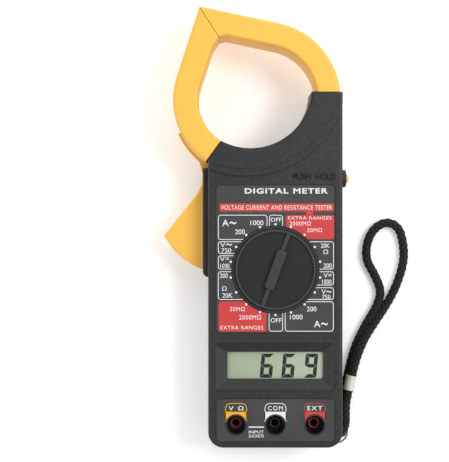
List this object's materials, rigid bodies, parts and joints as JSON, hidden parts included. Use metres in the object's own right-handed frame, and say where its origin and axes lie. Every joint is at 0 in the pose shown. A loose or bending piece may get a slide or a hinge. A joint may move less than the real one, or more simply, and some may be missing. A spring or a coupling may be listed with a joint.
{
  "type": "clamp meter",
  "caption": "Hand-held clamp meter with an opening jaw worked by a side trigger, rotary range dial, display, three lead jacks and a corded wrist strap.",
  "frame": {"origin": "on the flat back of the case, straight behind the axis of the range dial", "axes": "+X to the right, +Y towards the jaws, +Z out of the front face"},
  "size_m": [0.1323, 0.2319, 0.037],
  "materials": {
    "case_plastic": "fine matte texture",
    "jaw_plastic": "satin",
    "label_film": "printed film, satin",
    "blank_label": "matt film",
    "clear_window": "clear",
    "display": "grey green, satin",
    "dark_plastic": "satin",
    "contact_rubber": "matte",
    "board_laminate": "green solder resist",
    "component_plastic": "matte",
    "trimmer_plastic": "satin",
    "film_box": "satin",
    "can": "sleeved",
    "resistor_coat": "matte",
    "jack_red": "satin",
    "jack_black": "satin",
    "contact_brass": "plated",
    "wire_red": "insulation",
    "wire_black": "insulation",
    "battery_jacket": "plain jacket",
    "foam": "closed cell foam",
    "lamination_steel": "varnished laminations",
    "winding": "enamelled copper wire",
    "bobbin": "natural nylon",
    "steel": "plain",
    "knob_plastic": "fine matte texture",
    "amber_plastic": "satin",
    "strap_braid": "braided nylon",
    "band_metal": "crimped, satin"
  },
  "bodies": {
    "case": {"battery": "battery_jacket", "battery_foam": "foam", "battery_snap": "dark_plastic", "black_battery_wire": "wire_black", "black_jack_sleeve": "jack_black", "board_screws": "steel", "case_screws": "steel", "coil_bobbin": "bobbin", "coil_leads": "wire_red", "contact_strips": "contact_rubber", "converter_chip": "component_plastic", "display_frame": "dark_plastic", "display_glass": "display", "display_lens": "clear_window", "electrolytic_capacitors": "can", "film_capacitors": "film_box", "fixed_core": "lamination_steel", "fixed_jaw_front": "jaw_plastic", "fixed_jaw_rear": "jaw_plastic", "front_case": "case_plastic", "front_label": "label_film", "hold_switch": "dark_plastic", "jack_contacts": "contact_brass", "jack_label": "label_film", "jack_wires": "wire_red", "jaw_spring": "steel", "main_board": "board_laminate", "pickup_coil": "winding", "pivot_pin": "steel", "rear_case": "case_plastic", "rear_label": "blank_label", "red_battery_wire": "wire_red", "red_jack_sleeves": "jack_red", "resistors": "resistor_coat", "strap_post": "steel", "trim_pots": "trimmer_plastic"},
    "opening_jaw": {"moving_jaw_front": "jaw_plastic", "moving_jaw_rear": "jaw_plastic", "moving_core": "lamination_steel"},
    "range_dial": {"dial_knob": "knob_plastic", "dial_rotor": "dark_plastic", "detent_balls": "steel", "detent_springs": "steel", "wiper_contacts": "contact_brass"},
    "hold_key": {"hold_button": "amber_plastic"},
    "door": {"battery_door": "case_plastic"},
    "wrist_strap": {"strap_ring": "steel", "strap_cord": "strap_braid", "strap_band": "band_metal"}
  },
  "joints": [
    {"name": "jaw_pivot", "type": "hinge", "parent": "case", "child": "opening_jaw", "pos_m": [-0.0295, 0.046, 0.015], "axis": [0, 0, 1], "range_deg": [0, 28], "stiffness_Nm_per_rad": 0.35},
    {"name": "dial_turn", "type": "hinge", "parent": "case", "child": "range_dial", "pos_m": [0, 0, 0.0317], "axis": [0, 0, 1], "continuous": true},
    {"name": "hold_press", "type": "slide", "parent": "case", "child": "hold_key", "axis": [-1, 0, 0], "range_m": [0, 0.0015], "stiffness_N_per_m": 800},
    {"name": "door_slide", "type": "slide", "parent": "case", "child": "door", "axis": [0, -1, 0], "range_m": [0, 0.05]},
    {"name": "strap_swing", "type": "hinge", "parent": "case", "child": "wrist_strap", "pos_m": [0.0299, -0.0895, 0.0096], "axis": [0, 0, 1], "range_deg": [-45, 0]}
  ]
}
